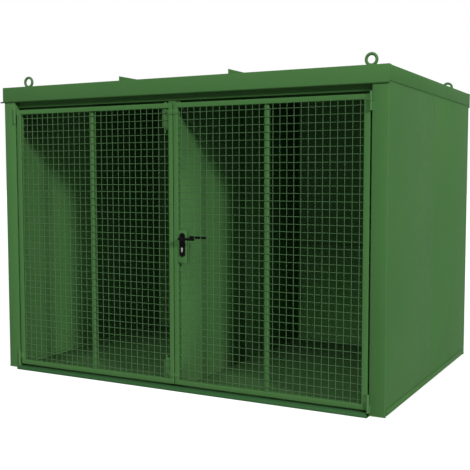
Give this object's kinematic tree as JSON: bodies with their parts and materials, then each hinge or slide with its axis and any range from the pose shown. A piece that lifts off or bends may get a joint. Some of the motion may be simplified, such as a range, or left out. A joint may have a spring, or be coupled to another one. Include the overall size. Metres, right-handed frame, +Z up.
{
  "type": "gas cylinder cage",
  "caption": "Walk-in folded sheet-steel cage for gas cylinders: welded-mesh door leaves with a lever lock, a dividing wall, a flat seamed roof and lifting eyes.",
  "frame": {"origin": "on the ground under the middle of the body, on the underside of the floor sheet", "axes": "+X to the right for a person facing the doors, -Y towards that person, +Z up"},
  "size_m": [3.1584, 2.2153, 2.284],
  "materials": {
    "green_paint": "satin moss-green powder coat on sheet steel",
    "black_handle": "black moulded plastic over a steel core",
    "cylinder_steel": "nickel-plated lock cylinder",
    "black_rubber": "black drain spout"
  },
  "bodies": {
    "cage": {"base_rail_left": "green_paint", "base_rail_right": "green_paint", "door_stop": "green_paint", "drain_spout": "black_rubber", "fascia_front": "green_paint", "fascia_left": "green_paint", "fascia_rear": "green_paint", "fascia_right": "green_paint", "floor_sheet": "green_paint", "front_left_corner_panel": "green_paint", "front_right_corner_panel": "green_paint", "front_sill": "green_paint", "left_post_hinge_lower": "green_paint", "left_post_hinge_upper": "green_paint", "lifting_eye_front_left": "green_paint", "lifting_eye_front_right": "green_paint", "lifting_eye_rear_left": "green_paint", "lifting_eye_rear_right": "green_paint", "lintel": "green_paint", "partition_front": "green_paint", "partition_rear": "green_paint", "rear_left_corner_panel": "green_paint", "rear_panel_left_lower": "green_paint", "rear_panel_left_upper": "green_paint", "rear_panel_right_lower": "green_paint", "rear_panel_right_upper": "green_paint", "rear_right_corner_panel": "green_paint", "right_post_hinge_lower": "green_paint", "right_post_hinge_upper": "green_paint", "roof_seam_left": "green_paint", "roof_seam_right": "green_paint", "roof_sheet": "green_paint"},
    "left_leaf": {"left_leaf_frame": "green_paint", "left_leaf_hinge_lower": "green_paint", "left_leaf_hinge_upper": "green_paint", "left_leaf_mesh": "green_paint", "left_leaf_stiffener": "green_paint", "top_bolt_plate": "green_paint", "bottom_bolt_plate": "green_paint"},
    "right_leaf": {"right_leaf_frame": "green_paint", "right_leaf_hinge_lower": "green_paint", "right_leaf_hinge_upper": "green_paint", "right_leaf_mesh": "green_paint", "right_leaf_stiffener": "green_paint", "lock_case": "green_paint", "outer_lock_plate": "black_handle", "inner_lock_plate": "black_handle", "lock_cylinder": "cylinder_steel"},
    "handle": {"outer_lever": "black_handle", "inner_lever": "black_handle"}
  },
  "joints": [
    {"name": "left_leaf_swing", "type": "hinge", "parent": "cage", "child": "left_leaf", "pos_m": [-1.436, -1.0728, 0], "axis": [0, 0, -1], "range_deg": [0, 180]},
    {"name": "right_leaf_swing", "type": "hinge", "parent": "cage", "child": "right_leaf", "pos_m": [1.436, -1.0728, 0], "axis": [0, 0, 1], "range_deg": [0, 180]},
    {"name": "lever_turn", "type": "hinge", "parent": "right_leaf", "child": "handle", "pos_m": [0.071, -1.04, 1.08], "axis": [0, 1, 0], "range_deg": [0, 40], "stiffness_Nm_per_rad": 2, "springref_deg": -40.11}
  ]
}
